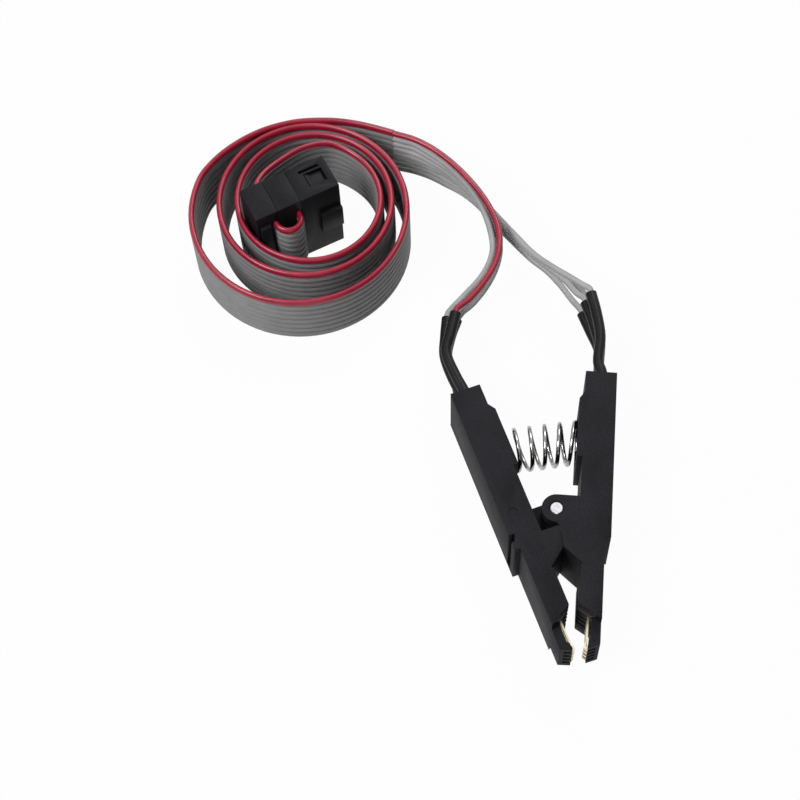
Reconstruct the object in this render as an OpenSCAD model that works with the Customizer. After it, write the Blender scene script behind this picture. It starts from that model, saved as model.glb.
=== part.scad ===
// Eight-way test clip for a small-outline chip, with its ribbon lead and 2 x 4 socket.
// Millimetres. The clip lies flat on z = 0, jaws towards -Y, hinge pin along Z.

/* [Clip arms] */
// Thickness of an arm, measured along the hinge pin
arm_t = 10; // [9.6:0.2:12]
// Hinge axis to the cable end of an arm
handle_l = 20.8; // [19:0.2:26]
// Hinge axis to the end of a jaw tip
jaw_l = 18.6; // [18:0.2:22]
// Hinge axis to the outer face of an arm
outer_x = 7.4; // [7.2:0.1:8.4]
// Width of the handle, outer face to inner face
handle_w = 4.3; // [4:0.1:4.6]
// Angle between the two arms with the jaws closed
rest_angle = 24.3; // [20:0.1:27]
// How far the spring pad stands out of the handle's inner face
pad_rise = 0.7; // [0.4:0.1:1]
// Length of the spring pad along the handle
pad_l = 8.8; // [7.6:0.1:9.4]
// Hinge axis to the middle of the spring pad
pad_y = 12.2; // [11.4:0.1:13]

/* [Jaws] */
// Width of the nose below the hinge
nose_w = 3.1; // [2.8:0.1:3.4]
// Hinge axis to the end of the nose at its inner face
nose_in_l = 13.2; // [12.4:0.1:14]
// Extra length of the nose at its outer face
nose_slant = 1.9; // [1.2:0.1:2.2]
// Thickness of the tip that reaches past the nose
tip_t = 6.4; // [6:0.1:7.4]
// Width of the tip's neck
neck_w = 1.25; // [1:0.05:1.4]
// How far the comb head stands in from the neck
head_rise = 0.3; // [0.1:0.05:0.4]
// Length of the comb head
head_l = 1; // [0.8:0.1:1.4]
// Pitch of the chip's legs
leg_pitch = 1.27; // [1.2:0.01:1.4]

/* [Hinge] */
// Radius of the steel hinge pin
pin_r = 0.9; // [0.7:0.05:1]
// Radius of a hinge ear
ear_r = 2; // [1.7:0.05:2.05]
// Running clearance round the pin
pin_clear = 0.05; // [0.03:0.01:0.08]
// Gap between neighbouring ears
ear_gap = 0.1; // [0.06:0.02:0.2]

/* [Covers] */
// Thickness of an arm's outer cover
cover_t = 0.8; // [0.6:0.1:1]
// Thickness of the lips that hold the cover
lip_t = 0.35; // [0.3:0.05:0.6]
// Width of the gap between a cover and the stop bar
cover_gap = 1; // [0.6:0.1:1.2]
// Width of the stop bar below the cover
bar_w = 1.2; // [0.9:0.1:1.4]

/* [Contacts] */
// Number of contacts on each arm
contacts = 4; // [4]
// Pitch of the contact tails at the cable end
tail_pitch = 2.5; // [2.3:0.05:2.6]
// Thickness of the contact strip
strip_t = 0.25; // [0.2:0.01:0.3]
// Width of the contact strip
strip_w = 0.5; // [0.4:0.02:0.56]
// Radius of the round tail
tail_r = 0.3; // [0.2:0.02:0.3]
// Play beside a strip in its slot
slot_play = 0.1; // [0.06:0.01:0.12]

/* [Spring] */
// Mean radius of the spring
spring_r = 2.9; // [2.5:0.05:3.1]
// Radius of the spring wire
spring_wire_r = 0.3; // [0.2:0.01:0.35]
// Number of turns
spring_turns = 5.4; // [4:0.1:6]
// Depth of the round pocket that holds an end of the spring
pocket_d = 0.65; // [0.4:0.05:0.9]

/* [Sleeves and lead] */
// Radius of a heat-shrink sleeve
sleeve_r = 0.8; // [0.7:0.02:0.85]
// Depth of a sleeve in the end of the arm
sleeve_in = 1.5; // [1:0.1:2]
// Pitch of the ribbon's conductors
wire_pitch = 1.27; // [1.2:0.01:1.27]
// Thickness of the ribbon
ribbon_t = 0.9; // [0.7:0.05:0.95]

/* [Socket] */
// Length of the socket, across the ribbon
socket_l = 14.7; // [14.2:0.1:16]
// Width of the socket between its two long faces
socket_w = 5.6; // [5.4:0.1:6.2]
// Height of the contact housing
housing_h = 6; // [5.6:0.1:7]
// Height of the cap that presses the ribbon onto the contacts
cap_h = 3.6; // [3.2:0.1:4]
// Height of the strain relief
relief_h = 3.4; // [3:0.1:3.8]
// Pitch of the socket's pins
pin_pitch = 2.54; // [2.4:0.01:2.6]
// Width of a pin's entry hole
entry_w = 0.9; // [0.7:0.05:1]

/* [Hidden] */
fine = 48;
wire_sides = 8;

// ---- clip layout, in the arm's own frame: hinge at the origin, outer face at -X ----
half = rest_angle / 2;
out_x = -outer_x;
in_x = out_x + handle_w;
pad_x = in_x + pad_rise;
pad_y0 = pad_y - pad_l / 2;
pad_y1 = pad_y + pad_l / 2;
pad_ramp = 1;
floor_x = out_x + cover_t;                 // floor of the cover's pocket, and the nose's outer face
nose_x = floor_x + nose_w;
bar_y1 = -(ear_r + 0.5);                   // upper side of the stop bar
bar_y0 = bar_y1 - bar_w;
cover_y0 = bar_y1 + cover_gap;
nose_out_l = nose_in_l + nose_slant;

stop_clear = 0.35;                         // play between an ear and the other arm's stop block
stop_y = ear_r + stop_clear;
stop_r0 = stop_y / cos(half);
stop_r1 = stop_r0 + 3.15;
waist_y = stop_r1 * cos(half) + 1.9;       // where the jaws reach their full opening
waist_r = 0.8;

neck_x = floor_x + neck_w;
head_x = neck_x + head_rise;
tip_out_l = jaw_l - 0.65;
ear_t = arm_t / 4;
gate_at = [out_x + 1.8, 1.5];              // dimple left by the moulding gate
gate_r = 0.55;
gate_d = 0.12;

// ---- contacts ----
strip_x = out_x + 2.1;                     // the strip's plane in the handle, and the sleeves' axis
finger_x = floor_x + 1.7;                  // the strip's plane in the nose
slot_w = strip_w + 2 * slot_play;
fan_y0 = -0.5;                             // the strips spread from leg pitch to tail pitch
fan_y1 = 8;
finger_point = head_x + 0.4;               // innermost point of the contact
slot_x0 = finger_x - strip_t / 2 - slot_play;
comb_depth = 1;

// ---- sleeves ----
seat_y = handle_l - sleeve_in;
sleeve_clear = 0.05;

// ---- the whole clip is centred on the origin ----
clip_top = handle_l * cos(half) + in_x * sin(half);
clip_tip = jaw_l * cos(half) - head_x * sin(half);
pivot_y = (clip_tip - clip_top) / 2;

// ---- spring ----
pocket_play = 0.15;
pocket_x = pad_x - pocket_d;
spring_y = pad_y * cos(half) + pocket_x * sin(half);
spring_room = spring_y * tan(half) - (pocket_x + spring_wire_r + 0.03) / cos(half);
spring_phase = 53;
spring_steps = 15;

// ---- ribbon: a coil of three turns standing on its edge ----
ribbon_w = contacts * 2 * wire_pitch;
coil_zero = 66;                            // angle that the coil's formula counts its turns from
coil_start = 150;
coil_end = 1140;
coil_step = 18;
function coil_point(a) = let (n = (a - coil_zero) / 360)
    [-28.8 + 1.37 * n - 0.26 * n * n + (17.3 - 4 * n + 0.49 * n * n) * cos(a),
      49.7 + 2.55 * n - 0.54 * n * n + (17.3 - 4 * n + 0.49 * n * n) * sin(a)];
coil = [for (a = [coil_start : coil_step : coil_end]) coil_point(a)];
ribbon_lead = [[-13.9, 62.4], [-15.9, 63.4], [-18.6, 64.6], [-21.7, 65.6], [-24.6, 66.1], [-27.6, 66.3],
               [-30.6, 66], [-33.4, 65.3], [-36.2, 64.1], [-38.8, 62.5], [-41, 60.6]];

// ---- socket: stands on its end inside the coil, its mating face at +X of its own frame ----
socket_at = [-36.1, 49.6];                 // middle of the strain relief's back
socket_turn = 19.5;
ribbon_room = ribbon_t + 0.1;              // depth of the recesses that the ribbon passes through
housing_x0 = relief_h + cap_h;
housing_x1 = housing_x0 + housing_h;
fold_x0 = relief_h - ribbon_room / 2;      // ribbon's middle under the strain relief
fold_x1 = housing_x0 - ribbon_room / 2;    // ribbon's middle on the housing
fold_r = (fold_x1 - fold_x0) / 2;
fold_out = 0.3;                            // straight part of the fold outside the socket
ribbon_lift = (socket_l - ribbon_w) / 2;
row_gap = pin_pitch / 2;
ribbon_play = 0.1;
cell_w = 1.4;                              // room for one contact in the housing
cell_l = 1.2;
latch_w = 2;
latch_t = 0.6;
latch_play = 0.1;
bridge_t = 0.45;
window_x0 = housing_x0 + 2.2;
window_x1 = housing_x0 + 5;
slit_w = 0.4;
slit_d = 0.6;
key_w = 4.3;                               // polarising key on the front long face
key_h = 3.4;
key_out = 0.7;
bulge = 0.6;                               // strain relief's middle stands out from its ends
function from_socket(p) = [
    socket_at[0] + p[0] * cos(socket_turn) - p[1] * sin(socket_turn),
    socket_at[1] + p[0] * sin(socket_turn) + p[1] * cos(socket_turn)];
fold_arc = [for (a = [180 : 30 : 360]) from_socket(
    [fold_x0 + fold_r + fold_r * cos(a), -socket_w / 2 - fold_out + fold_r * sin(a)])];
mouth_out = 0.6;                           // straight part outside the back
ribbon_tail = [[-24.1, 61.5], [-27.5, 60.9], [-31, 58.9], [-33.4, 56.9], [-34.5, 55.1],
               from_socket([fold_x0, socket_w / 2 + mouth_out])];
ribbon_end = [from_socket([fold_x1, socket_w / 2])];
ribbon_line = concat(ribbon_lead, coil, ribbon_tail, fold_arc, ribbon_end);
lift_end = len(ribbon_lead) + len(coil) + len(ribbon_tail) - 1;  // it rises on the way to the socket
lift_start = lift_end - 7;
function lift(i) = ribbon_lift * min(1, max(0, (i - lift_start) / (lift_end - lift_start)));
ribbon_points = [for (i = [0 : len(ribbon_line) - 1])
    [ribbon_line[i][0], ribbon_line[i][1], lift(i) + ribbon_w / 2]];

// ---- single wires: left one first, then right, each from the ribbon's end to its sleeve ----
function lane(i) = arm_t / 2 + (i - (contacts - 1) / 2) * tail_pitch;
function conductor(i) = ribbon_w - (i + 0.5) * wire_pitch;

left_sleeves = [
    [[-10, 25.2], [-10.6, 28.9], [-10, 31.1], [-9, 33.5]],
    [[-10.1, 24], [-10.8, 27.9], [-9.9, 30.6], [-8.6, 33.2]],
    [[-10.7, 22.8], [-11.3, 26.4], [-10.8, 29.2], [-10.1, 32.3]],
    [[-10.4, 21.8], [-11.2, 25.7], [-10.3, 28.2], [-9, 31.6]]];
right_sleeves = [
    [[10.7, 24.4], [11.6, 28.4], [11.7, 31.4], [11.4, 34.2]],
    [[10.3, 23.2], [10.7, 25.5], [10.1, 28.5], [9.4, 31.7]],
    [[9.9, 21.9], [10.5, 25], [10.3, 28.8], [9.8, 32.1]],
    [[9.5, 21.1], [10.5, 25.1], [10.6, 28.7], [10.4, 32.1]]];
left_wires = [
    [[-11.2, 61, 5.8], [-8.9, 59.1, 6], [-6.8, 56.8, 6.3], [-4.8, 54.1, 6.5], [-3.1, 51.4, 6.6],
     [-2, 48.4, 6.6], [-1.4, 45.4, 6.4], [-1.5, 42.7, 5.8], [-2.4, 40.3, 4.9], [-4.2, 38.4, 3.8],
     [-6.4, 36.3, 2.4]],
    [[-11.1, 61, 7.1], [-8.9, 59, 7.2], [-6.7, 56.7, 7.3], [-4.7, 53.9, 7.5], [-3, 50.7, 7.6],
     [-1.8, 47.6, 7.6], [-1.1, 44.5, 7.5], [-1.1, 41.9, 7.1], [-2.1, 39.3, 6.3], [-3.8, 37.1, 5.3],
     [-6.1, 35.1, 4.4]],
    [[-11.1, 61, 8.3], [-8.9, 59, 8.3], [-6.7, 56.5, 8.4], [-4.9, 53.7, 8.5], [-3.5, 50.9, 8.5],
     [-2.6, 47.9, 8.5], [-2.1, 44.6, 8.4], [-2.2, 41.5, 8.2], [-3.2, 39.2, 7.8], [-4.8, 37.3, 7.3],
     [-7.4, 35.2, 6.7]],
    [[-11.1, 61, 9.5], [-8.8, 59.2, 9.5], [-6.7, 56.9, 9.5], [-4.6, 53.9, 9.5], [-2.7, 50.4, 9.4],
     [-1.6, 47.5, 9.3], [-1, 44.6, 9.2], [-1.2, 41.7, 9.1], [-2.2, 38.9, 9], [-4.2, 36.1, 8.9],
     [-6.7, 33.6, 8.8]]];
right_wires = [
    [[-11.2, 61.2, 0.7], [-8.9, 59.7, 1], [-6.7, 57.6, 1.5], [-4.3, 55.2, 2], [-2.1, 52, 2.4],
     [-0.1, 48.2, 2.6], [2.2, 44.8, 2.6], [4.9, 41.7, 2.4], [7.6, 39.6, 2], [10.1, 37, 1.5]],
    [[-11.2, 61.2, 2], [-8.9, 59.6, 2.5], [-6.7, 57.6, 2.9], [-4.4, 54.9, 3.3], [-2.4, 51.8, 3.6],
     [-0.6, 48.2, 3.9], [1.6, 44.4, 4.1], [3.6, 41.4, 4.1], [5.5, 39.2, 4], [7, 36.8, 3.9],
     [8.3, 34.1, 3.8]],
    [[-11.2, 61.2, 3.3], [-8.9, 59.5, 3.8], [-6.4, 57.4, 4.1], [-4.2, 54.5, 4.4], [-2.1, 51.4, 4.7],
     [-0.1, 47.7, 5.1], [1.8, 44, 5.5], [3.7, 41, 5.8], [5.7, 38.4, 6], [7.6, 36, 6.1],
     [8.8, 33.8, 6.2]],
    [[-11.2, 61.1, 4.5], [-8.9, 59.3, 4.9], [-6.5, 57.1, 5.1], [-4.2, 54.3, 5.3], [-2.1, 51.2, 5.6],
     [-0.2, 47.6, 6.1], [1.6, 44, 6.8], [3.5, 40.4, 7.5], [5.7, 37.5, 8.2], [7.9, 35.2, 8.6],
     [9.3, 33.8, 8.7]]];

// ---- placing ----
// The left arm as it lies, turned out from the middle by half the rest angle.
module place_left() { translate([0, pivot_y, 0]) rotate([0, 0, half]) children(); }
// The right arm is the same moulding turned over.
module place_right() {
    translate([0, pivot_y, arm_t]) rotate([0, 180, 0]) rotate([0, 0, half]) children();
}
function left_spot(p) = [p[0] * cos(half) - p[1] * sin(half), p[0] * sin(half) + p[1] * cos(half) + pivot_y];
function right_spot(p) = let (q = left_spot(p)) [-q[0], q[1]];

// ---- shared shapes ----
// A flat strip of width w along an open line, mitred at its corners.
function unit(v) = v / norm(v);
function normal_at(line, i) = let (
        a = unit(line[max(i, 1)] - line[max(i, 1) - 1]),
        b = unit(line[min(i + 1, len(line) - 1)] - line[min(i, len(line) - 2)]),
        m = unit(a + b))
    [-m[1], m[0]] / max(0.5, m * b);
function beside(line, d) = [for (i = [0 : len(line) - 1]) line[i] + d * normal_at(line, i)];
function strip(line, w) = concat(beside(line, w / 2),
    [for (i = [len(line) - 1 : -1 : 0]) beside(line, -w / 2)[i]]);

// A closed tube through the points of a route; section(dir) gives one ring's offsets.
function heading(route, i) = unit(
    unit(route[min(i + 1, len(route) - 1)] - route[min(i, len(route) - 2)])
    + unit(route[max(i, 1)] - route[max(i, 1) - 1]));
function round_ring(d, r) = let (
        s = unit(cross(d, abs(d[2]) > 0.9 ? [1, 0, 0] : [0, 0, 1])), u = cross(s, d))
    [for (k = [0 : wire_sides - 1]) let (a = 360 * k / wire_sides) r * (cos(a) * s + sin(a) * u)];
module loft(rings) {
    n = len(rings[0]);
    m = len(rings);
    polyhedron(
        points = [for (ring = rings, p = ring) p],
        faces = concat(
            [[for (k = [0 : n - 1]) k]],
            [for (j = [0 : m - 2], k = [0 : n - 1]) [j * n + k, (j + 1) * n + k, (j + 1) * n + (k + 1) % n]],
            [for (j = [0 : m - 2], k = [0 : n - 1]) [j * n + k, (j + 1) * n + (k + 1) % n, j * n + (k + 1) % n]],
            [[for (k = [n - 1 : -1 : 0]) (m - 1) * n + k]]));
}
module tube(route, r) {
    loft([for (i = [0 : len(route) - 1]) [for (p = round_ring(heading(route, i), r)) route[i] + p]]);
}

// ---- clip arm ----
module arm_outline() {
    slope = atan2(waist_y - stop_r1 * cos(half), nose_x + stop_r1 * sin(half));
    polygon(concat(
        [[out_x, handle_l], [out_x, bar_y0], [floor_x, bar_y0],
         [floor_x, -nose_out_l], [nose_x, -nose_in_l]],
        [for (a = [0 : 15 : 45]) [nose_x - waist_r + waist_r * cos(a), -waist_y - waist_r + waist_r * sin(a)]],
        [[-stop_r1 * sin(half), -stop_r1 * cos(half)],
         [-stop_r0 * sin(half), -stop_y], [in_x, -stop_y],
         [in_x, pad_y0], [pad_x, pad_y0], [pad_x, pad_y1], [in_x, pad_y1 + pad_ramp],
         [in_x, handle_l]]));
}

module tip_outline() {
    polygon([[floor_x, -nose_out_l + 1], [floor_x, -tip_out_l], [head_x, -jaw_l],
             [head_x, -jaw_l + head_l], [neck_x, -jaw_l + head_l + head_rise], [neck_x, -nose_in_l]]);
}

module ear_outline() {
    circle(r = ear_r, $fn = fine);
    polygon([[in_x - 1, ear_r], [0, ear_r], [0, -ear_r],
             [-stop_r0 * sin(half), -stop_y], [-stop_r0 * sin(half), -stop_y - 1], [in_x - 1, -stop_y - 1]]);
}

function strip_z(i, pitch) = arm_t / 2 + (i - (contacts - 1) / 2) * pitch;

// Room for one contact: open to the pocket in the handle, a tunnel below it, a slot in the nose.
module contact_lane(i) {
    z0 = strip_z(i, leg_pitch);
    z1 = strip_z(i, tail_pitch);
    run = fan_y1 - fan_y0;
    lean = atan2(z1 - z0, run);
    lane_floor = strip_x + strip_t / 2 + slot_play;
    tail_floor = strip_x + tail_r + slot_play;
    translate([floor_x - 1, fan_y1 - 0.2, z1 - slot_w / 2])
        cube([tail_floor - floor_x + 1, handle_l - fan_y1 + 1, slot_w]);
    translate([floor_x - 1, fan_y0, z0]) rotate([lean, 0, 0]) translate([0, -0.2, -slot_w / 2])
        cube([lane_floor - floor_x + 1, run / cos(lean) + 0.4, slot_w]);
    translate([strip_x - strip_t, -nose_in_l + 4, z0 - slot_w / 2])
        cube([finger_x - strip_x + 2 * strip_t, nose_in_l - 4 + fan_y0 + 0.2, slot_w]);
    translate([slot_x0, -nose_out_l - 1, z0 - slot_w / 2])
        cube([nose_x - slot_x0 + 1, nose_out_l - nose_in_l + 5.2, slot_w]);
    translate([strip_x, seat_y, z1]) rotate([-90, 0, 0])
        cylinder(r = sleeve_r + sleeve_clear, h = sleeve_in + 1, $fn = fine);
    translate([head_x - comb_depth, -jaw_l - 1, z0 - slot_w / 2]) cube([comb_depth + 1, 2.2, slot_w]);
}

module arm_moulding() {
    difference() {
        union() {
            linear_extrude(arm_t) arm_outline();
            for (level = [0, 2]) translate([0, 0, level * ear_t + (level > 0 ? ear_gap / 2 : 0)])
                linear_extrude(ear_t - (level > 0 ? ear_gap : ear_gap / 2)) ear_outline();
            translate([0, 0, (arm_t - tip_t) / 2]) linear_extrude(tip_t) tip_outline();
        }
        translate([pocket_x, pad_y, arm_t / 2]) rotate([0, 90, 0])
            cylinder(r = spring_r + spring_wire_r + pocket_play, h = 2, $fn = fine);
        translate([0, 0, -1]) cylinder(r = pin_r + pin_clear, h = arm_t + 2, $fn = fine);
        translate([out_x - 1, bar_y1, lip_t]) cube([cover_t + 1, handle_l - bar_y1 + 1, arm_t - 2 * lip_t]);
        translate([out_x - 1, bar_y1, lip_t]) cube([cover_t + 1, cover_gap, arm_t]);
        for (i = [0 : contacts - 1]) contact_lane(i);
        translate([gate_at[0], gate_at[1], arm_t - gate_d]) cylinder(r = gate_r, h = 1, $fn = fine);
    }
}

module arm_cover() {
    play = 0.05;
    translate([out_x, cover_y0, lip_t + play])
        cube([cover_t, handle_l - cover_y0, arm_t - 2 * (lip_t + play)]);
}

// One sprung strip: round tail, spread part, finger and hooked point.
module contact(i) {
    z0 = strip_z(i, leg_pitch);
    z1 = strip_z(i, tail_pitch);
    run = fan_y1 - fan_y0;
    lean = atan2(z1 - z0, run);
    finger = [[strip_x, fan_y0], [strip_x, -4.4], [finger_x, -7.6], [finger_x, -nose_in_l - 1],
              [finger_x + 0.05, -jaw_l + 1.3], [finger_point, -jaw_l + 0.75],
              [finger_point, -jaw_l + 0.4], [head_x, -jaw_l + 0.12]];
    translate([0, 0, z0 - strip_w / 2]) linear_extrude(strip_w) polygon(strip(finger, strip_t));
    translate([strip_x - strip_t / 2, fan_y0, z0]) rotate([lean, 0, 0]) translate([0, -0.1, -strip_w / 2])
        cube([strip_t, run / cos(lean) + 0.2, strip_w]);
    translate([strip_x - strip_t / 2, fan_y1 - 0.05, z1 - strip_w / 2])
        cube([strip_t, seat_y - 2 - fan_y1, strip_w]);
    translate([strip_x, seat_y - 3, z1]) rotate([-90, 0, 0]) cylinder(r = tail_r, h = 3, $fn = fine);
}

// ---- named pieces of the clip ----
module left_arm() { color([0.13, 0.13, 0.14]) place_left() arm_moulding(); }
module right_arm() { color([0.13, 0.13, 0.14]) place_right() arm_moulding(); }
module left_cover() { color([0.16, 0.16, 0.17]) place_left() arm_cover(); }
module right_cover() { color([0.16, 0.16, 0.17]) place_right() arm_cover(); }
module contact_left(i) { color([0.85, 0.68, 0.32]) place_left() contact(i - 1); }
module contact_right(i) { color([0.85, 0.68, 0.32]) place_right() contact(contacts - i); }

module pivot_pin() {
    bevel = 0.12;
    color([0.8, 0.8, 0.82]) translate([0, pivot_y, 0]) {
        cylinder(r1 = pin_r - bevel, r2 = pin_r, h = bevel, $fn = fine);
        translate([0, 0, bevel]) cylinder(r = pin_r, h = arm_t - 2 * bevel, $fn = fine);
        translate([0, 0, arm_t - bevel]) cylinder(r1 = pin_r, r2 = pin_r - bevel, h = bevel, $fn = fine);
    }
}

// A left-hand coil between the floors of the two pockets; its turns fan out with the arms.
function spring_point(t) = let (
        a = spring_phase - 360 * spring_turns * t, tilt = half * (2 * t - 1), out = spring_r * cos(a))
    [spring_room * (2 * t - 1) + out * sin(tilt), spring_y + pivot_y + out * cos(tilt),
     arm_t / 2 + spring_r * sin(a)];
module spring() {
    steps = round(spring_turns * spring_steps);
    color([0.75, 0.75, 0.77]) tube([for (k = [0 : steps]) spring_point(k / steps)], spring_wire_r);
}

// ---- lead ----
function sleeve_route(spots, i, place) = let (mouth = place([strip_x, seat_y]), rim = place([strip_x, handle_l + 0.5]))
    concat([[mouth[0], mouth[1], lane(i)], [rim[0], rim[1], lane(i)]],
           [for (p = spots[i]) [p[0], p[1], lane(i)]]);
module sleeve_left(i) {
    color([0.1, 0.1, 0.1]) tube(sleeve_route(left_sleeves, i - 1, function (p) left_spot(p)), sleeve_r);
}
module sleeve_right(i) {
    color([0.1, 0.1, 0.1]) tube(sleeve_route(right_sleeves, i - 1, function (p) right_spot(p)), sleeve_r);
}
// A wire runs from conductor n of the ribbon, counted from the top, to the sleeve in lane i,
// and it is straight for a short way at both ends, so that it meets them face to face.
wire_straight = 0.7;
module wire(route, n, sleeve, i, tint) {
    start = ribbon_lead[0];
    from = start + wire_straight * unit(start - ribbon_lead[1]);
    stop = sleeve[len(sleeve) - 1];
    to = stop + wire_straight * unit(stop - sleeve[len(sleeve) - 2]);
    color(tint) tube(concat([[start[0], start[1], conductor(n)], [from[0], from[1], conductor(n)]], route,
                            [[to[0], to[1], lane(i)], [stop[0], stop[1], lane(i)]]), ribbon_t / 2);
}
module wire_left(i) {
    wire(left_wires[i - 1], contacts - i, left_sleeves[i - 1], i - 1,
         i == contacts ? [0.75, 0.1, 0.25] : [0.6, 0.6, 0.6]);
}
module wire_right(i) {
    wire(right_wires[i - 1], 2 * contacts - i, right_sleeves[i - 1], i - 1, [0.6, 0.6, 0.6]);
}

module ribbon() {
    color([0.6, 0.6, 0.6]) loft([for (i = [0 : len(ribbon_points) - 1]) let (
            p = ribbon_points[i], flat = [for (q = ribbon_points) [q[0], q[1]]],
            n = normal_at(flat, i) * ribbon_t / 2, up = ribbon_w / 2)
        [p + [n[0], n[1], -up], p + [-n[0], -n[1], -up], p + [-n[0], -n[1], up], p + [n[0], n[1], up]]]);
}

// ---- socket, in its own frame: ribbon side at x = 0, mating face at +X, long axis along Z ----
module place_socket() { translate([socket_at[0], socket_at[1], 0]) rotate([0, 0, socket_turn]) children(); }
function pin_z(i) = socket_l / 2 + (i - (contacts - 1) / 2) * pin_pitch;

// Both ends of the socket are alike: children are drawn for the top end and mirrored to the bottom.
module both_ends() {
    children();
    translate([0, 0, socket_l]) mirror([0, 0, 1]) children();
}

module block(x0, h) { translate([x0, -socket_w / 2, 0]) cube([h, socket_w, socket_l]); }

// Recess across a moulding's face that the ribbon passes through.
module ribbon_recess(x1) {
    translate([x1 - ribbon_room, -socket_w, ribbon_lift - ribbon_play])
        cube([ribbon_room + 1, 2 * socket_w, ribbon_w + 2 * ribbon_play]);
}

// A latch arm lies below a bridge of the housing and hooks up into a window in its end.
module latch(grow) {
    top = socket_l - bridge_t;
    rotate([90, 0, 0]) linear_extrude(latch_w + 2 * grow, center = true) polygon([
        [housing_x0 - 1, top - latch_t - grow], [window_x1 - 0.2 + grow, top - latch_t - grow],
        [window_x1 - 0.2 + grow, top - 0.1], [window_x0 + 1, top - 0.1],
        [window_x0 + 0.1, socket_l - 0.1], [window_x0 + 0.1, top + grow], [housing_x0 - 1, top + grow]]);
}

module socket_housing() {
    color([0.12, 0.12, 0.13]) place_socket() difference() {
        union() {
            block(housing_x0, housing_h);
            translate([housing_x1 - key_h, -socket_w / 2 - key_out, (socket_l - key_w) / 2])
                cube([key_h, key_out + 1, key_w]);
        }
        both_ends() {
            translate([housing_x0 - 1, -latch_w / 2 - latch_play, socket_l - bridge_t - latch_t - latch_play])
                cube([window_x1 - housing_x0 + 1, latch_w + 2 * latch_play, latch_t + 2 * latch_play]);
            translate([window_x0, -latch_w / 2 - latch_play, socket_l - bridge_t - 0.5])
                cube([window_x1 - window_x0, latch_w + 2 * latch_play, bridge_t + 1]);
            translate([window_x0 - 0.5, latch_w / 2 + 0.45, socket_l - slit_d])
                cube([window_x1 - window_x0 + 0.3, slit_w, slit_d + 1]);
        }
        for (row = [-1, 1], i = [0 : contacts - 1]) {
            translate([housing_x0 - 1, row * row_gap - cell_w / 2, pin_z(i) - cell_l / 2])
                cube([housing_h, cell_w, cell_l]);
            translate([housing_x0, row * row_gap - entry_w / 2, pin_z(i) - entry_w / 2])
                cube([housing_h + 1, entry_w, entry_w]);
        }
    }
}

module socket_cap() {
    color([0.12, 0.12, 0.13]) place_socket() {
        difference() {
            block(relief_h, cap_h);
            ribbon_recess(housing_x0);
        }
        both_ends() latch(0);
    }
}

module strain_relief() {
    color([0.12, 0.12, 0.13]) place_socket() difference() {
        union() {
            block(0, relief_h);
            translate([0.4, -socket_w / 2 - bulge, ribbon_lift]) cube([relief_h - ribbon_room - 0.8, 1, ribbon_w]);
        }
        ribbon_recess(relief_h);
    }
}

// A forked blade towards the ribbon and two leaves towards the pin.
module socket_contact(n) {
    i = (n - 1) % contacts;
    row = n <= contacts ? -1 : 1;
    leaf = 0.2;
    color([0.85, 0.68, 0.32]) place_socket() translate([housing_x0, row * row_gap, pin_z(i)]) {
        translate([0, -0.5, -leaf / 2]) cube([1.9, 1, leaf]);
        for (side = [-1, 1]) linear_extrude(0.8, center = true) polygon(strip(
            [[1.8, side * 0.42], [3.2, side * 0.42], [4.3, side * 0.2], [4.8, side * 0.34]], leaf));
    }
}

left_arm();
right_arm();
left_cover();
right_cover();
pivot_pin();
spring();
for (i = [1 : contacts]) {
    contact_left(i);
    contact_right(i);
    sleeve_left(i);
    sleeve_right(i);
    wire_left(i);
    wire_right(i);
}
ribbon();
socket_housing();
socket_cap();
strain_relief();
for (i = [1 : 2 * contacts]) socket_contact(i);
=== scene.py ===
"""Looks of an eight-way test clip with a coiled ribbon lead and a 2 x 4 socket."""
import math

import bmesh
import bpy
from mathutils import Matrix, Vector


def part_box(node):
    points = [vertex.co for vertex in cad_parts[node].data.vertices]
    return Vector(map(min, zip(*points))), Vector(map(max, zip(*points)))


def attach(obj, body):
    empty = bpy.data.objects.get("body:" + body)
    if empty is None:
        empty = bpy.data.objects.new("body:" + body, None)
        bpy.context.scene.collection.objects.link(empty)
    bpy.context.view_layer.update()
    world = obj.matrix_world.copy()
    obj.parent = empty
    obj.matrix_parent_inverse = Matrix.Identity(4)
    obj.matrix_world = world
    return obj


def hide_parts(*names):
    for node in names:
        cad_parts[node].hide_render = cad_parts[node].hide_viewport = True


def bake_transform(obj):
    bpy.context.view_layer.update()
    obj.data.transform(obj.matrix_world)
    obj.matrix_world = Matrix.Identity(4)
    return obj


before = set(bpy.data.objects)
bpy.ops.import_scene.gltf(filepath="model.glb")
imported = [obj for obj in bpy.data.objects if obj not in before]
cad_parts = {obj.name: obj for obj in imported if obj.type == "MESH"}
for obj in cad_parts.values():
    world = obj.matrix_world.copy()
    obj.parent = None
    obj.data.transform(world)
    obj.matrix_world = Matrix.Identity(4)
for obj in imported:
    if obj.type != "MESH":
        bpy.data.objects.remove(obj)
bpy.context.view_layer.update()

MM = 0.001
UP = Vector((0, 0, 1))


# ---- camera ----
camera = bpy.data.objects.new("camera", bpy.data.cameras.new("camera"))
bpy.context.scene.collection.objects.link(camera)
bpy.context.scene.camera = camera
camera.data.sensor_width = 36
camera.data.lens = 85.5
camera.data.shift_x = -0.0625
camera.location = Vector((-28.0, -96.4, 242.9)) * MM
camera_target = Vector((-11.1, 22.5, 0)) * MM
camera.rotation_mode = "QUATERNION"
camera.rotation_quaternion = (camera_target - camera.location).to_track_quat("-Z", "Y")


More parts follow.
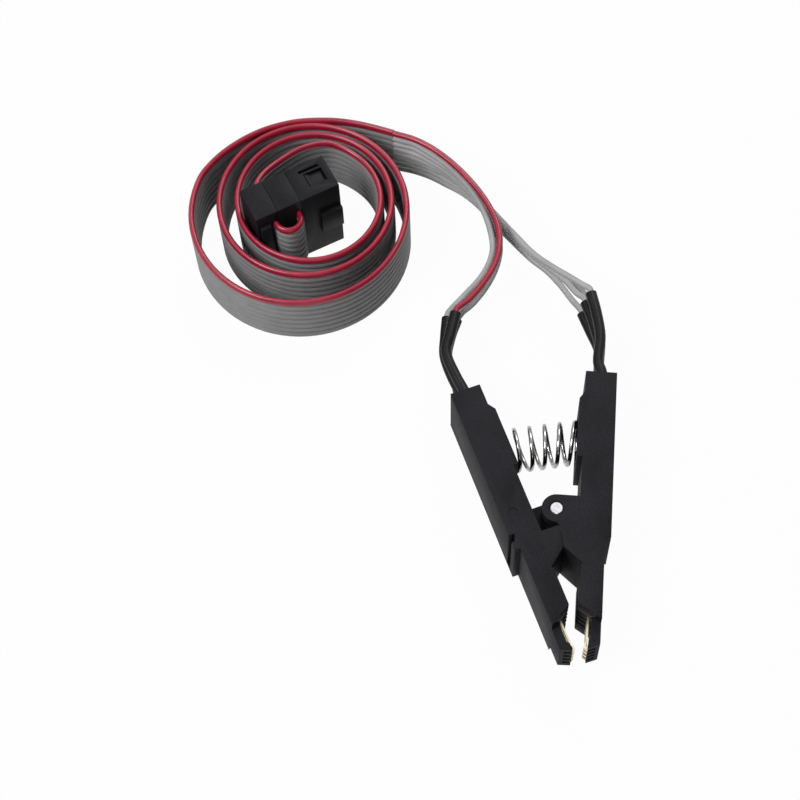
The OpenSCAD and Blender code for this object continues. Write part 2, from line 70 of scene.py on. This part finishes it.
# ---- sizes shared with the solids, in millimetres ----
CONTACTS = 4
WIRE_PITCH = 1.27
RIBBON_T = 0.9
RIBBON_W = 2 * CONTACTS * WIRE_PITCH
TAIL_PITCH = 2.5
ARM_T = 10.0
HANDLE_L = 20.8
SLEEVE_IN = 1.5                 # how deep a sleeve sits in its arm
SLEEVE_R = 0.8
OUT_X = -7.4                    # an arm's outer face, in the arm's own frame
HANDLE_W = 4.3
STRIP_X = OUT_X + 2.1           # the contact strips' plane
HALF = math.radians(12.15)      # half the angle between the arms at rest
PIVOT_Y = -0.217


def turned(x, y, angle, at=(0, 0)):
    """A point turned about the origin and then shifted."""
    return (x * math.cos(angle) - y * math.sin(angle) + at[0],
            x * math.sin(angle) + y * math.cos(angle) + at[1])


# ---- materials ----
def linear(hexa):
    """An sRGB hex colour as linear RGBA."""
    parts = [int(hexa[i:i + 2], 16) / 255 for i in (1, 3, 5)]
    return (*[c / 12.92 if c <= 0.04045 else ((c + 0.055) / 1.055) ** 2.4 for c in parts], 1)


def add(tree, kind, inputs=None, **settings):
    """Adds a node. An input is a value, or the socket of another node that feeds it."""
    made = tree.nodes.new("ShaderNode" + kind)
    for name, value in settings.items():
        setattr(made, name, value)
    for name, value in (inputs or {}).items():
        if isinstance(value, bpy.types.NodeSocket):
            tree.links.new(value, made.inputs[name])
        else:
            made.inputs[name].default_value = value
    return made


def new_material(name):
    """An empty node material, and the piece's own coordinates in millimetres."""
    material = bpy.data.materials.new(name)
    material.use_nodes = True
    tree = material.node_tree
    tree.nodes.clear()
    place = add(tree, "TexCoord").outputs["Object"]
    scaled = add(tree, "VectorMath", {0: place, 1: (1 / MM,) * 3}, operation="MULTIPLY")
    return material, tree, scaled.outputs[0]


def finish_material(tree, shader):
    """Sends the shader to the material's output."""
    add(tree, "OutputMaterial", {"Surface": shader})


def moulded_plastic(name, dark, light, roughness, grain_mm, bump_mm, cloud_mm=4.0, shine=0.3):
    """A moulded plastic: faint clouds of tone, a fine grain in the surface, uneven gloss."""
    material, tree, place = new_material(name)
    cloud = add(tree, "TexNoise", {"Vector": place, "Scale": 1 / cloud_mm, "Detail": 3.0})
    grain = add(tree, "TexNoise", {"Vector": place, "Scale": 1 / grain_mm, "Detail": 2.0})
    mixed = add(tree, "Math", {0: cloud.outputs["Fac"], 1: grain.outputs["Fac"]}, operation="MULTIPLY")
    tone = add(tree, "ValToRGB", {"Fac": mixed.outputs[0]})
    tone.color_ramp.elements[0].position = 0.1
    tone.color_ramp.elements[0].color = linear(dark)
    tone.color_ramp.elements[1].position = 0.45
    tone.color_ramp.elements[1].color = linear(light)
    rough = add(tree, "MapRange", {"Value": cloud.outputs["Fac"], "From Min": 0.3, "From Max": 0.7,
                                   "To Min": roughness - 0.05, "To Max": roughness + 0.05})
    bump = add(tree, "Bump", {"Height": grain.outputs["Fac"], "Distance": bump_mm * MM, "Strength": 0.6})
    shader = add(tree, "BsdfPrincipled", {"Base Color": tone.outputs["Color"],
                                          "Roughness": rough.outputs["Result"],
                                          "IOR": 1.53, "Specular IOR Level": shine,
                                          "Normal": bump.outputs["Normal"]})
    finish_material(tree, shader.outputs[0])
    return material


def metal(name, colour, roughness, streak_mm, bump_mm, stretch=(1, 1, 1)):
    """A bare or plated metal: drawing or brushing marks along one axis, slightly uneven gloss."""
    material, tree, place = new_material(name)
    drawn = add(tree, "Mapping", {"Vector": place, "Scale": stretch})
    marks = add(tree, "TexNoise", {"Vector": drawn.outputs[0], "Scale": 1 / streak_mm, "Detail": 3.0})
    tone = add(tree, "ValToRGB", {"Fac": marks.outputs["Fac"]})
    tone.color_ramp.elements[0].color = [c * 0.8 for c in linear(colour)[:3]] + [1]
    tone.color_ramp.elements[0].position = 0.35
    tone.color_ramp.elements[1].color = linear(colour)
    tone.color_ramp.elements[1].position = 0.6
    rough = add(tree, "MapRange", {"Value": marks.outputs["Fac"], "To Min": roughness - 0.06,
                                   "To Max": roughness + 0.06})
    bump = add(tree, "Bump", {"Height": marks.outputs["Fac"], "Distance": bump_mm * MM, "Strength": 0.4})
    shader = add(tree, "BsdfPrincipled", {"Base Color": tone.outputs["Color"], "Metallic": 1.0,
                                          "Roughness": rough.outputs["Result"],
                                          "Normal": bump.outputs["Normal"]})
    finish_material(tree, shader.outputs[0])
    return material


# Glass-filled nylon from a spark-eroded mould: an even, dull grain of about 0.1 mm, drawn
# at 0.25 mm so that it shows.
nylon = moulded_plastic("moulded_black_nylon", "#0b0b0d", "#202025", 0.62, 0.25, 0.06, shine=0.1)
# PBT from a smoother mould: a little glossier, with hardly any grain.
pbt = moulded_plastic("moulded_black_pbt", "#0c0c0e", "#18181b", 0.52, 0.4, 0.015, shine=0.1)
# Polyolefin heat-shrink tube: satin, with faint shrink marks.
shrink = moulded_plastic("black_polyolefin_heat_shrink", "#060607", "#0e0e0f", 0.42, 0.5, 0.03, 1.5,
                         shine=0.16)
# Extruded soft PVC: even colour, a soft waxy gloss, faint marks from the die.
grey_pvc = moulded_plastic("extruded_grey_pvc", "#6f6e6f", "#7c7b7c", 0.5, 2.0, 0.01, 9.0, shine=0.25)
# The same grey PVC as the ribbon, painted lighter for the single wires: painted light, not a colour of
# their own.
grey_pvc_painted_lighter = moulded_plastic("extruded_grey_pvc_painted_lighter", "#878687", "#949394", 0.45, 2.0, 0.01, 9.0,
                            shine=0.25)
red_pvc = moulded_plastic("extruded_red_pvc", "#790722", "#90122f", 0.34, 2.0, 0.01, 9.0, shine=0.45)
# Nickel-plated spring wire: faint marks in no set direction, bright.
spring_steel = metal("nickel_plated_spring_steel", "#a6a5a4", 0.16, 0.5, 0.004)
# Turned steel pin with a polished end.
pin_steel = metal("turned_bright_steel", "#dcdce0", 0.22, 0.3, 0.004, (1, 1, 0.2))
# Gold flash on sprung bronze: warm, softly polished.
gold = metal("gold_flashed_bronze", "#e6dcc0", 0.28, 0.4, 0.004, (1, 0.2, 1))


# ---- meshes ----
def make_piece(name, bm, material, body=None, smooth=60):
    """An object with the bmesh's shape at the origin; bm is freed."""
    bmesh.ops.recalc_face_normals(bm, faces=bm.faces)
    mesh = bpy.data.meshes.new(name)
    bm.to_mesh(mesh)
    bm.free()
    mesh.materials.append(material)
    mesh.shade_smooth()
    mesh.set_sharp_from_angle(angle=math.radians(smooth))
    piece = bpy.data.objects.new(name, mesh)
    bpy.context.scene.collection.objects.link(piece)
    if body:
        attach(piece, body)
    return piece


def smooth_line(points, parts):
    """A centripetal Catmull-Rom curve through the points, with so many parts between neighbours."""
    ends = [2 * points[0] - points[1], *points, 2 * points[-1] - points[-2]]
    line = []
    for a, b, c, d in zip(ends, ends[1:], ends[2:], ends[3:]):
        at_b = math.sqrt((b - a).length)
        at_c = at_b + math.sqrt((c - b).length)
        at_d = at_c + math.sqrt((d - c).length)
        for k in range(parts):
            t = at_b + (at_c - at_b) * k / parts
            ab, bc = a.lerp(b, t / at_b), b.lerp(c, (t - at_b) / (at_c - at_b))
            cd = c.lerp(d, (t - at_c) / (at_d - at_c))
            abc, bcd = ab.lerp(bc, t / at_c), bc.lerp(cd, (t - at_b) / (at_d - at_b))
            line.append(abc.lerp(bcd, (t - at_b) / (at_c - at_b)))
    return line + [points[-1]]


def sweep(bm, line, section, square_to=UP):
    """Skins a closed section along a line. section(i) gives its (sideways, up) offsets at point i."""
    rings = []
    for i, point in enumerate(line):
        heading = (line[min(i + 1, len(line) - 1)] - line[max(i - 1, 0)]).normalized()
        side = heading.cross(square_to).normalized()
        rise = side.cross(heading)
        rings.append([bm.verts.new(point + side * s + rise * u) for s, u in section(i)])
    for a, b in zip(rings, rings[1:]):
        for k in range(len(a)):
            bm.faces.new((a[k], a[k - 1], b[k - 1], b[k]))
    bm.faces.new(rings[0])
    bm.faces.new(rings[-1])


def circle(radius, sides):
    return [(radius * math.cos(2 * math.pi * k / sides), radius * math.sin(2 * math.pi * k / sides))
            for k in range(sides)]


# ---- ribbon: eight conductors side by side, each a ridge joined to the next by a thin web ----
COIL_ZERO, COIL_START, COIL_END, COIL_STEP = 66, 150, 1140, 18
SOCKET_AT = (-36.1, 49.6)
SOCKET_TURN = math.radians(19.5)
SOCKET_L, SOCKET_W = 14.7, 5.6
RELIEF_H, CAP_H = 3.4, 3.6
RIBBON_ROOM = RIBBON_T + 0.1
FOLD_X0 = RELIEF_H - RIBBON_ROOM / 2
FOLD_X1 = RELIEF_H + CAP_H - RIBBON_ROOM / 2
FOLD_OUT, MOUTH_OUT = 0.3, 0.6
LIFT = (SOCKET_L - RIBBON_W) / 2
LIFT_POINTS = 7                 # the ribbon rises to the socket's middle over so many points
RIDGE_SIDES = 20
RIDGE_OVERLAP = 1.01            # neighbouring ridges overlap by so much, so no gap shows between them
WEB = 0.08                      # half the thickness of the web between two ridges


def coil_point(angle):
    """The coil's centre line at an angle in degrees: a spiral whose middle drifts as it winds in."""
    n = (angle - COIL_ZERO) / 360
    radius = 17.3 - 4 * n + 0.49 * n * n
    return (-28.8 + 1.37 * n - 0.26 * n * n + radius * math.cos(math.radians(angle)),
            49.7 + 2.55 * n - 0.54 * n * n + radius * math.sin(math.radians(angle)))


def from_socket(x, y):
    """A point given in the socket's own frame."""
    return turned(x, y, SOCKET_TURN, SOCKET_AT)


ribbon_lead = [(-13.9, 62.4), (-15.9, 63.4), (-18.6, 64.6), (-21.7, 65.6), (-24.6, 66.1), (-27.6, 66.3),
               (-30.6, 66), (-33.4, 65.3), (-36.2, 64.1), (-38.8, 62.5), (-41, 60.6)]
coil = [coil_point(a) for a in range(COIL_START, COIL_END + 1, COIL_STEP)]
fold_r = (FOLD_X1 - FOLD_X0) / 2
fold = [from_socket(FOLD_X0 + fold_r + fold_r * math.cos(math.radians(a)),
                    -SOCKET_W / 2 - FOLD_OUT + fold_r * math.sin(math.radians(a)))
        for a in range(180, 361, 30)]
ribbon_tail = [(-24.1, 61.5), (-27.5, 60.9), (-31, 58.9), (-33.4, 56.9), (-34.5, 55.1),
               from_socket(FOLD_X0, SOCKET_W / 2 + MOUTH_OUT)]
ribbon_flat = ribbon_lead + coil + ribbon_tail + fold + [from_socket(FOLD_X1, SOCKET_W / 2 - 0.02)]
lift_end = len(ribbon_lead) + len(coil) + len(ribbon_tail) - 1
ribbon_centre = []
for i, (x, y) in enumerate(ribbon_flat):
    lifted = min(1, max(0, (i - lift_end + LIFT_POINTS) / LIFT_POINTS))
    ribbon_centre.append(Vector((x, y, RIBBON_W / 2 + LIFT * lifted)))


def ridge_section():
    """One conductor's outline: a rounded ridge on each face, with a narrow web to each neighbour."""
    ridge, reach = RIBBON_T / 2, WIRE_PITCH / 2
    outline = []
    for k in range(RIDGE_SIDES):
        angle = 2 * math.pi * (k + 0.5) / RIDGE_SIDES
        side = ridge * math.cos(angle)
        outline.append((math.copysign(max(abs(side), WEB), side) * MM,
                        reach * math.sin(angle) * RIDGE_OVERLAP * MM))
    return outline


ribbon_line = smooth_line(ribbon_centre, 4)
socket_pieces = ["socket_housing", "socket_cap", "strain_relief"]
ridge_outline = ridge_section()
for n in range(2 * CONTACTS):
    height = RIBBON_W / 2 - (n + 0.5) * WIRE_PITCH
    line = [(p + UP * height) * MM for p in ribbon_line]
    bm = bmesh.new()
    sweep(bm, line, lambda i: ridge_outline)
    piece = make_piece(f"ribbon_conductor_{n + 1}", bm, red_pvc if n == 0 else grey_pvc,
                       "left", 75)
    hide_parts("ribbon")


# ---- single wires and sleeves ----
def lane(i):
    """Height of the wire, sleeve and contact number i in an arm."""
    return ARM_T / 2 + (i - (CONTACTS - 1) / 2) * TAIL_PITCH


def conductor_z(n):
    """Height of the ribbon's conductor number n, counted from the red one at the top."""
    return RIBBON_W - (n + 0.5) * WIRE_PITCH


def straight_on(point, before, reach):
    """A point so far beyond a line's last one, straight on."""
    a, b = Vector(point), Vector(before)
    return a + (a - b).normalized() * reach


sleeve_spots = {
    "left": [
        [(-10, 25.2), (-10.6, 28.9), (-10, 31.1), (-9, 33.5)],
        [(-10.1, 24), (-10.8, 27.9), (-9.9, 30.6), (-8.6, 33.2)],
        [(-10.7, 22.8), (-11.3, 26.4), (-10.8, 29.2), (-10.1, 32.3)],
        [(-10.4, 21.8), (-11.2, 25.7), (-10.3, 28.2), (-9, 31.6)]],
    "right": [
        [(10.7, 24.4), (11.6, 28.4), (11.7, 31.4), (11.4, 34.2)],
        [(10.3, 23.2), (10.7, 25.5), (10.1, 28.5), (9.4, 31.7)],
        [(9.9, 21.9), (10.5, 25), (10.3, 28.8), (9.8, 32.1)],
        [(9.5, 21.1), (10.5, 25.1), (10.6, 28.7), (10.4, 32.1)]]}
wire_spots = {
    "left": [
        [(-11.2, 61, 5.8), (-8.9, 59.1, 6), (-6.8, 56.8, 6.3), (-4.8, 54.1, 6.5), (-3.1, 51.4, 6.6),
         (-2, 48.4, 6.6), (-1.4, 45.4, 6.4), (-1.5, 42.7, 5.8), (-2.4, 40.3, 4.9), (-4.2, 38.4, 3.8),
         (-6.4, 36.3, 2.4)],
        [(-11.1, 61, 7.1), (-8.9, 59, 7.2), (-6.7, 56.7, 7.3), (-4.7, 53.9, 7.5), (-3, 50.7, 7.6),
         (-1.8, 47.6, 7.6), (-1.1, 44.5, 7.5), (-1.1, 41.9, 7.1), (-2.1, 39.3, 6.3), (-3.8, 37.1, 5.3),
         (-6.1, 35.1, 4.4)],
        [(-11.1, 61, 8.3), (-8.9, 59, 8.3), (-6.7, 56.5, 8.4), (-4.9, 53.7, 8.5), (-3.5, 50.9, 8.5),
         (-2.6, 47.9, 8.5), (-2.1, 44.6, 8.4), (-2.2, 41.5, 8.2), (-3.2, 39.2, 7.8), (-4.8, 37.3, 7.3),
         (-7.4, 35.2, 6.7)],
        [(-11.1, 61, 9.5), (-8.8, 59.2, 9.5), (-6.7, 56.9, 9.5), (-4.6, 53.9, 9.5), (-2.7, 50.4, 9.4),
         (-1.6, 47.5, 9.3), (-1, 44.6, 9.2), (-1.2, 41.7, 9.1), (-2.2, 38.9, 9), (-4.2, 36.1, 8.9),
         (-6.7, 33.6, 8.8)]],
    "right": [
        [(-11.2, 61.2, 0.7), (-8.9, 59.7, 1), (-6.7, 57.6, 1.5), (-4.3, 55.2, 2), (-2.1, 52, 2.4),
         (-0.1, 48.2, 2.6), (2.2, 44.8, 2.6), (4.9, 41.7, 2.4), (7.6, 39.6, 2), (10.1, 37, 1.5)],
        [(-11.2, 61.2, 2), (-8.9, 59.6, 2.5), (-6.7, 57.6, 2.9), (-4.4, 54.9, 3.3), (-2.4, 51.8, 3.6),
         (-0.6, 48.2, 3.9), (1.6, 44.4, 4.1), (3.6, 41.4, 4.1), (5.5, 39.2, 4), (7, 36.8, 3.9),
         (8.3, 34.1, 3.8)],
        [(-11.2, 61.2, 3.3), (-8.9, 59.5, 3.8), (-6.4, 57.4, 4.1), (-4.2, 54.5, 4.4), (-2.1, 51.4, 4.7),
         (-0.1, 47.7, 5.1), (1.8, 44, 5.5), (3.7, 41, 5.8), (5.7, 38.4, 6), (7.6, 36, 6.1),
         (8.8, 33.8, 6.2)],
        [(-11.2, 61.1, 4.5), (-8.9, 59.3, 4.9), (-6.5, 57.1, 5.1), (-4.2, 54.3, 5.3), (-2.1, 51.2, 5.6),
         (-0.2, 47.6, 6.1), (1.6, 44, 6.8), (3.5, 40.4, 7.5), (5.7, 37.5, 8.2), (7.9, 35.2, 8.6),
         (9.3, 33.8, 8.7)]]}
WIRE_STRAIGHT = 0.7             # a wire's straight run at each end
WIRE_IN_SLEEVE = 0.8
WIRE_R = RIBBON_T / 2
SLEEVE_SWELL = 0.03             # how much a sleeve's radius varies, as a share
# a sleeve's squared end, as steps beyond its line's last point and the radius at each
SLEEVE_END = [(0.02, SLEEVE_R - 0.05), (0.03, WIRE_R + 0.12), (0.021, WIRE_R + 0.05)]


def sleeve_line(side, i):
    """Centre line of a sleeve, from its seat in the arm to its free end."""
    line = []
    for y in (HANDLE_L - SLEEVE_IN, HANDLE_L + 0.5):
        x, y = turned(STRIP_X, y, HALF, (0, PIVOT_Y))
        line.append(Vector((x if side == "left" else -x, y, lane(i))))
    return line + [Vector((x, y, lane(i))) for x, y in sleeve_spots[side][i]]


for side, first in (("left", CONTACTS - 1), ("right", 2 * CONTACTS - 1)):
    for i in range(CONTACTS):
        spots = sleeve_line(side, i)
        line = [p * MM for p in smooth_line(spots, 5)]
        # the tube is fullest over the soldered joint, ends square, and is open round the wire
        radii = [SLEEVE_R * (1 - SLEEVE_SWELL + SLEEVE_SWELL * math.cos(2.2 * math.pi * k / len(line)))
                 for k in range(len(line))]
        tip, outwards = line[-1], (line[-1] - line[-2]).normalized()
        line += [tip + outwards * step * MM for step, _ in SLEEVE_END]
        radii += [radius for _, radius in SLEEVE_END]
        bm = bmesh.new()
        sweep(bm, line, lambda k: circle(radii[k] * MM, 24))
        piece = make_piece(f"shrink_sleeve_{side}_{i + 1}", bm, shrink, side, 50)
        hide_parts(f"sleeve_{side}_{i + 1}")

        n = first - i
        start = Vector((*ribbon_lead[0], conductor_z(n)))
        leaving = straight_on(start, (*ribbon_lead[1], conductor_z(n)), WIRE_STRAIGHT)
        end = spots[-1]
        arriving = straight_on(end, spots[-2], WIRE_STRAIGHT)
        route = [start, leaving, *[Vector(p) for p in wire_spots[side][i]], arriving, end,
                 straight_on(end, arriving, WIRE_IN_SLEEVE)]
        line = [p * MM for p in smooth_line(route, 5)]
        # the grey single wires take the ribbon's grey painted lighter, which is painted light
        red = side == "left" and i == CONTACTS - 1
        bm = bmesh.new()
        sweep(bm, line, lambda k: circle(WIRE_R * MM, 16))
        piece = make_piece(f"single_wire_{side}_{i + 1}", bm, red_pvc if red else grey_pvc_painted_lighter)
        if side == "left":
            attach(piece, "left")
        else:
            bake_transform(piece)
        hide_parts(f"wire_{side}_{i + 1}")

# ---- coil spring ----
SPRING_R, SPRING_WIRE_R, SPRING_TURNS, SPRING_PHASE = 2.9, 0.3, 5.4, math.radians(53)
SPRING_STEPS = 28
PAD_RISE, POCKET_D, PAD_Y = 0.7, 0.65, 12.2
pocket_x = OUT_X + HANDLE_W + PAD_RISE - POCKET_D
spring_y = PAD_Y * math.cos(HALF) + pocket_x * math.sin(HALF)
spring_room = spring_y * math.tan(HALF) - (pocket_x + SPRING_WIRE_R + 0.03) / math.cos(HALF)
spring_line = []
for k in range(round(SPRING_TURNS * SPRING_STEPS) + 1):
    t = k / round(SPRING_TURNS * SPRING_STEPS)
    angle = SPRING_PHASE - 2 * math.pi * SPRING_TURNS * t
    tilt = HALF * (2 * t - 1)
    out = SPRING_R * math.cos(angle)
    spring_line.append(Vector((spring_room * (2 * t - 1) + out * math.sin(tilt),
                               spring_y + PIVOT_Y + out * math.cos(tilt),
                               ARM_T / 2 + SPRING_R * math.sin(angle))) * MM)


bm = bmesh.new()
wire_round = circle(SPRING_WIRE_R * MM, 14)
sweep(bm, spring_line, lambda k: wire_round, square_to=Vector((1, 0, 0)))
spring = make_piece("coil_spring", bm, spring_steel, None, 50)
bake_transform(spring)
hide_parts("spring")


# ---- mouldings: the solids' own shapes with rounded outer edges ----
ARM_ROUND, SOCKET_ROUND = 0.09, 0.1
LEAST_EDGE = 1.2                # shorter edges stay sharp, except on the two flat sides


def rounded_copy(node, material, body, radius):
    """A copy of a CAD node with its coplanar faces joined and its longer outer edges rounded."""
    bm = bmesh.new()
    bm.from_mesh(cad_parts[node].data)
    bmesh.ops.remove_doubles(bm, verts=bm.verts, dist=0.002 * MM)
    bmesh.ops.dissolve_limit(bm, angle_limit=math.radians(1), verts=bm.verts, edges=bm.edges)
    low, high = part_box(node)
    outer = []
    for edge in bm.edges:
        if len(edge.link_faces) != 2 or not edge.is_convex or edge.calc_face_angle() < math.radians(35):
            continue
        flat = all(min(abs(v.co.z - low.z), abs(v.co.z - high.z)) < 0.01 * MM for v in edge.verts)
        if flat or edge.calc_length() > LEAST_EDGE * MM:
            outer.append(edge)
    bmesh.ops.bevel(bm, geom=outer, offset=radius * MM, offset_type="OFFSET", affect="EDGES", segments=2,
                    profile=0.5, material=-1, clamp_overlap=False)
    piece = make_piece(f"{node}_moulding", bm, material, body, 30)
    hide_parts(node)
    return piece


for side in ("left", "right"):
    rounded_copy(f"{side}_arm", nylon, side, ARM_ROUND)
    rounded_copy(f"{side}_cover", nylon, side, ARM_ROUND)
socket_parts = [rounded_copy(node, pbt, "left", SOCKET_ROUND) for node in socket_pieces]

# ---- metal pieces that keep their solids ----
carried = {"pivot_pin": pin_steel}
carried.update({f"contact_{side}_{i + 1}": gold for side in ("left", "right") for i in range(CONTACTS)})
carried.update({f"socket_contact_{i + 1}": gold for i in range(2 * CONTACTS)})
for node, material in carried.items():
    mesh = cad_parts[node].data
    mesh.materials.clear()
    mesh.materials.append(material)


# ---- studio ----
FLOOR_HALF = 2.0                # in metres
FLOOR_DROP = 0.02               # the floor lies just below the lowest face
BOARD_GLOW = 0.97


def seen_directly(tree):
    """1 for the camera's own rays and mirror-like reflections; also the plain camera ray."""
    rays = add(tree, "LightPath")
    seen = add(tree, "Math", {0: rays.outputs["Is Camera Ray"], 1: rays.outputs["Is Glossy Ray"]},
               operation="MAXIMUM")
    return seen.outputs[0], rays.outputs["Is Camera Ray"]


bm = bmesh.new()
bmesh.ops.create_grid(bm, x_segments=1, y_segments=1, size=FLOOR_HALF)
mesh = bpy.data.meshes.new("floor")
bm.to_mesh(mesh)
bm.free()
floor = bpy.data.objects.new("floor", mesh)
bpy.context.scene.collection.objects.link(floor)
floor.location.z = -FLOOR_DROP * MM
# White painted board. It shows mostly by its own light, so that its shadows stay faint.
paper = bpy.data.materials.new("white_painted_board")
paper.use_nodes = True
tree = paper.node_tree
tree.nodes.clear()
seen, _ = seen_directly(tree)
share = add(tree, "Math", {0: seen, 1: BOARD_GLOW}, operation="MULTIPLY")
matt = add(tree, "BsdfDiffuse", {"Color": linear("#b4b4b4")})
glow = add(tree, "Emission", {"Color": linear("#ffffff"), "Strength": 1.0})
both = add(tree, "MixShader", {0: share.outputs[0], 1: matt.outputs[0], 2: glow.outputs[0]})
finish_material(tree, both.outputs[0])
mesh.materials.append(paper)

world = bpy.data.worlds.new("studio")
bpy.context.scene.world = world
world.use_nodes = True
tree = world.node_tree
tree.nodes.clear()
seen, camera_ray = seen_directly(tree)
# The room is bright above and behind the object, and dimmer in front of it.
where = add(tree, "SeparateXYZ", {0: add(tree, "TexCoord").outputs["Generated"]})
height = add(tree, "Math", {0: where.outputs["Y"], 1: where.outputs["Z"]}, operation="ADD")
room = add(tree, "MapRange", {"Value": height.outputs[0], "From Min": -0.4, "From Max": 0.9,
                              "To Min": 0.12, "To Max": 1.0})
shown = add(tree, "Math", {0: room.outputs[0], 1: camera_ray}, operation="MAXIMUM")
level = add(tree, "MapRange", {"Value": seen, "To Min": 0.33, "To Max": shown.outputs[0]})
sky = add(tree, "Background", {"Color": linear("#ffffff"), "Strength": level.outputs["Result"]})
add(tree, "OutputWorld", {"Surface": sky.outputs[0]})


SOFTBOX_AIM = (-12, 25, 5)


def softbox(name, place, size, power):
    """A square soft light at place (mm), aimed at the object's middle."""
    light = bpy.data.lights.new(name, "AREA")
    light.size = size * MM
    light.energy = power
    lamp = bpy.data.objects.new(name, light)
    bpy.context.scene.collection.objects.link(lamp)
    lamp.location = Vector(place) * MM
    lamp.rotation_mode = "QUATERNION"
    lamp.rotation_quaternion = (Vector(SOFTBOX_AIM) * MM - lamp.location).to_track_quat("-Z", "Y")


softbox("key_softbox", (-230, -40, 330), 150, 1.5)
softbox("back_softbox", (120, 300, 300), 200, 0.9)
softbox("front_softbox", (-40, -360, 120), 200, 0.2)

bpy.context.scene.view_settings.view_transform = "Standard"
